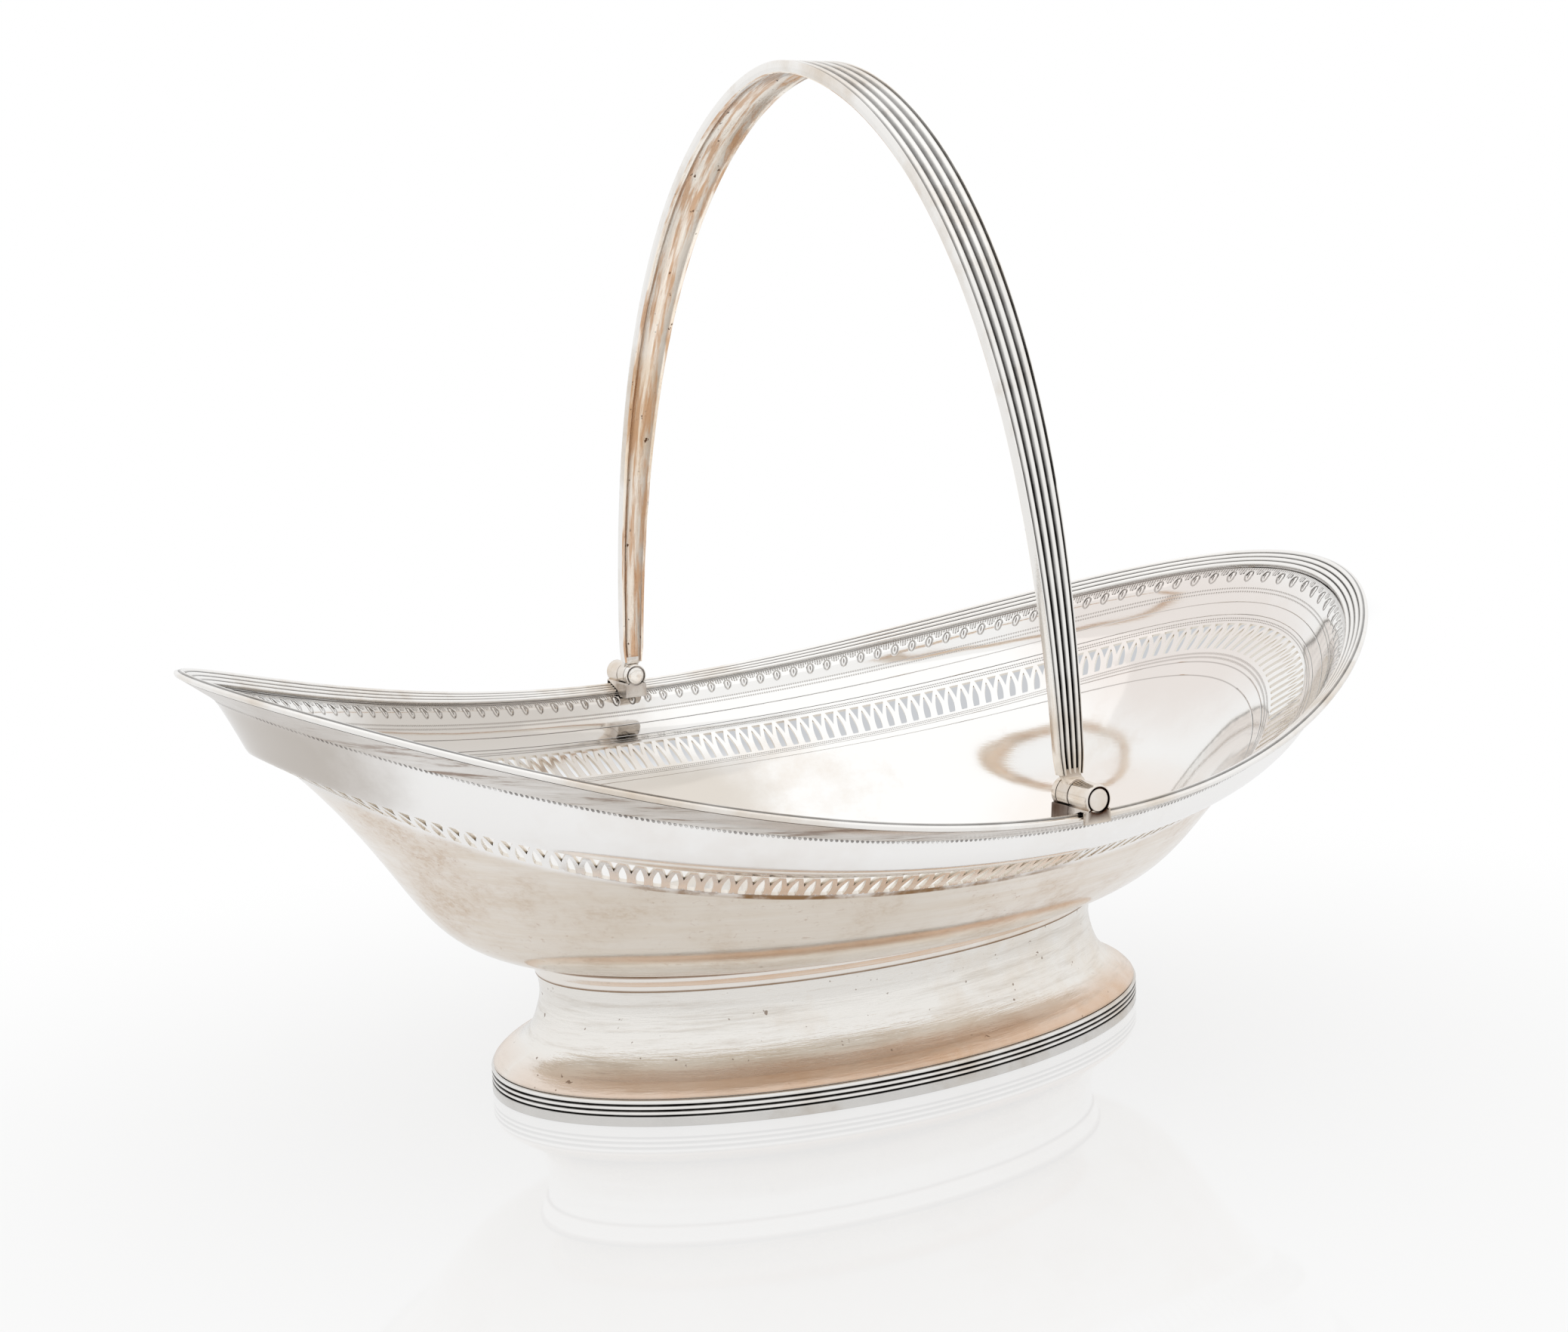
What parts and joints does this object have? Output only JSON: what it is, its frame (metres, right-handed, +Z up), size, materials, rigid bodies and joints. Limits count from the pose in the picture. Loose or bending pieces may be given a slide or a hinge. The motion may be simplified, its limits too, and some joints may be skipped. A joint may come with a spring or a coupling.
{
  "type": "swing-handled table basket",
  "caption": "Boat-shaped silver centerpiece basket: pierced oval bowl with rising reeded rim, swing bow handle hinged at the long sides, on an oval pedestal foot.",
  "frame": {"origin": "under the middle of the foot, on the surface that the basket stands on", "axes": "+X along the boat-shaped bowl, +Y across it towards one hinge, +Z up"},
  "size_m": [0.369, 0.262, 0.281],
  "materials": {
    "bowl_silver": "polished silver sheet with a warm tarnish bloom and fine scratches",
    "reeded_silver": "polished reeds with dark oxide left in the grooves",
    "foot_silver": "polished silver sheet with brown tarnish towards the base",
    "handle_silver": "polished reeds outside, golden tarnish in the hollow inside",
    "hinge_silver": "worn polished silver, dark in the corners",
    "pin_silver": "polished domed heads"
  },
  "bodies": {
    "basket": {"bowl": "bowl_silver", "rim_moulding": "reeded_silver", "foot_collar": "bowl_silver", "foot_pedestal": "foot_silver", "foot_base_moulding": "reeded_silver", "hinge_bracket_far": "hinge_silver", "hinge_bracket_near": "hinge_silver", "hinge_pin_far": "pin_silver", "hinge_pin_near": "pin_silver"},
    "handle": {"handle_bow": "handle_silver", "handle_knuckle_far": "hinge_silver", "handle_knuckle_near": "hinge_silver"}
  },
  "joints": [
    {"name": "handle_swing", "type": "hinge", "parent": "basket", "child": "handle", "pos_m": [0, 0, 0.0933], "axis": [0, 1, 0], "range_deg": [-75, 75]}
  ]
}
